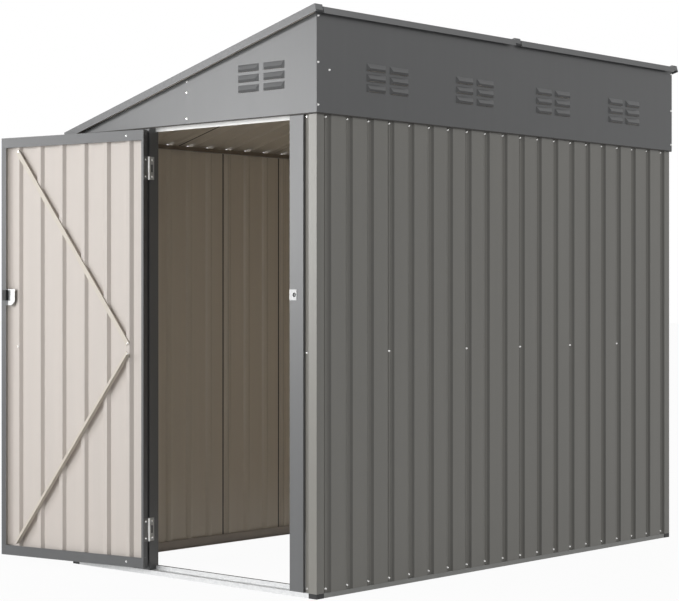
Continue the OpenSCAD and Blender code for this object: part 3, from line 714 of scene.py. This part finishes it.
solid = add(screw_tree, "GeometryNodeRealizeInstances", {0: placed.outputs[0]})
plated = add(screw_tree, "GeometryNodeSetMaterial", {
    "Geometry": solid.outputs[0], "Material": given["Plating"],
})
add(screw_tree, "NodeGroupOutput", {0: plated.outputs[0]})


def fix_screws(name, seats, body, flange_height, head_height):
    mesh = bpy.data.meshes.new(name)
    mesh.from_pydata([point for point, _ in seats], [], [])
    facing = mesh.attributes.new("facing", "FLOAT_VECTOR", "POINT")
    for item, (_, outward) in zip(facing.data, seats):
        item.vector = outward
    screws = bpy.data.objects.new(name, mesh)
    bpy.context.scene.collection.objects.link(screws)
    modifier = screws.modifiers.new("screws", "NODES")
    modifier.node_group = screw_tree
    for socket, value in (
        ("Flange Radius", flange_radius), ("Flange Height", flange_height),
        ("Head Radius", head_radius), ("Head Height", head_height), ("Plating", bright_zinc),
    ):
        modifier[sockets[socket]] = value
    shown = screws.evaluated_get(bpy.context.evaluated_depsgraph_get())
    screws.data = bpy.data.meshes.new_from_object(shown)
    screws.modifiers.clear()
    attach(screws, body)


fix_screws("screws_shed", shed_screws, "shed", screw_flange, screw_head)
fix_screws("screws_door", door_screws, "door", screw_flange, screw_head)
fix_screws("hinge_rivets_shed", shed_rivets, "shed", rivet_flange, rivet_head)
fix_screws("hinge_rivets_door", door_rivets, "door", rivet_flange, rivet_head)


# Floor: a plain pale studio floor that runs out to white and keeps a faint shadow.
floor_size = 60
floor_drop = 0.5 * mm
floor_white = 0.96
floor_mesh = bpy.data.meshes.new("floor")
floor_corners = [
    (x * floor_size, y * floor_size, -floor_drop) for x, y in ((-1, -1), (1, -1), (1, 1), (-1, 1))
]
floor_mesh.from_pydata(floor_corners, [], [(0, 1, 2, 3)])
floor = bpy.data.objects.new("floor", floor_mesh)
bpy.context.scene.collection.objects.link(floor)
floor_paint, tree, shader = new_material("studio_floor")
shader.inputs["Base Color"].default_value = linear("E8E8E8")
shader.inputs["Roughness"].default_value = 0.9


def seen_share(tree):
    rays = add(tree, "ShaderNodeLightPath").outputs
    seen = add(tree, "ShaderNodeMath", {
        0: rays["Is Camera Ray"], 1: rays["Is Glossy Ray"],
    }, operation="MAXIMUM")
    return add(tree, "ShaderNodeMath", {
        0: seen.outputs[0], 1: rays["Is Transmission Ray"],
    }, operation="MAXIMUM").outputs[0]


whiteness = add(tree, "ShaderNodeMath", {0: seen_share(tree), 1: floor_white}, operation="MULTIPLY")
white = add(tree, "ShaderNodeEmission", {"Color": (1, 1, 1, 1), "Strength": 1})
mix = add(tree, "ShaderNodeMixShader", {
    0: whiteness.outputs[0], 1: shader.outputs[0], 2: white.outputs[0],
})
tree.links.new(mix.outputs[0], tree.nodes["Material Output"].inputs["Surface"])
floor_mesh.materials.append(floor_paint)


# Light: a large soft lamp in front and a little to the left, a small one farther left that puts
# a sheen on the front, one high on the right for the long wall, and a plain white world.
def softbox(name, place, target, width, height, power):
    lamp = bpy.data.lights.new(name, "AREA")
    lamp.shape = "RECTANGLE"
    lamp.size = width
    lamp.size_y = height
    lamp.energy = power
    box = bpy.data.objects.new(name, lamp)
    box.visible_camera = False
    box.location = place
    box.rotation_euler = (Vector(target) - Vector(place)).to_track_quat("-Z", "Y").to_euler()
    bpy.context.scene.collection.objects.link(box)


softbox("key", place=(-1.4, -7.5, 2.5), target=(-0.1, 0, 1.0), width=3.8, height=4.4, power=355)
softbox("card", place=(-6.5, -7.37, 2.2), target=(0.5, 0, 1.3), width=1.6, height=2.7, power=160)
softbox("fill", place=(13.2, 10.3, 10.2), target=(0.64, 1.1, 1.2), width=8, height=8, power=480)
world = bpy.data.worlds.new("studio")
world.use_nodes = True
bpy.context.scene.world = world
tree = world.node_tree
ambient = 0.18
level = add(tree, "ShaderNodeMapRange", {"Value": seen_share(tree), "To Min": ambient, "To Max": 1})
tree.links.new(level.outputs["Result"], tree.nodes["Background"].inputs["Strength"])
tree.nodes["Background"].inputs["Color"].default_value = (1, 1, 1, 1)
bpy.context.scene.view_settings.view_transform = "Standard"


# Camera: level, at about chest height off the front right corner, with a long lens.
# The small shift sets the horizon where the photograph has it.
camera = bpy.data.cameras.new("camera")
camera.lens = 97.78
camera.sensor_width = 36
camera.shift_y = -0.004
camera.clip_end = 200
eye = bpy.data.objects.new("camera", camera)
eye.location = (4.8754, -4.5955, 1.0199)
eye.rotation_euler = (math.radians(90), 0, math.radians(42.15))
bpy.context.scene.collection.objects.link(eye)
bpy.context.scene.camera = eye
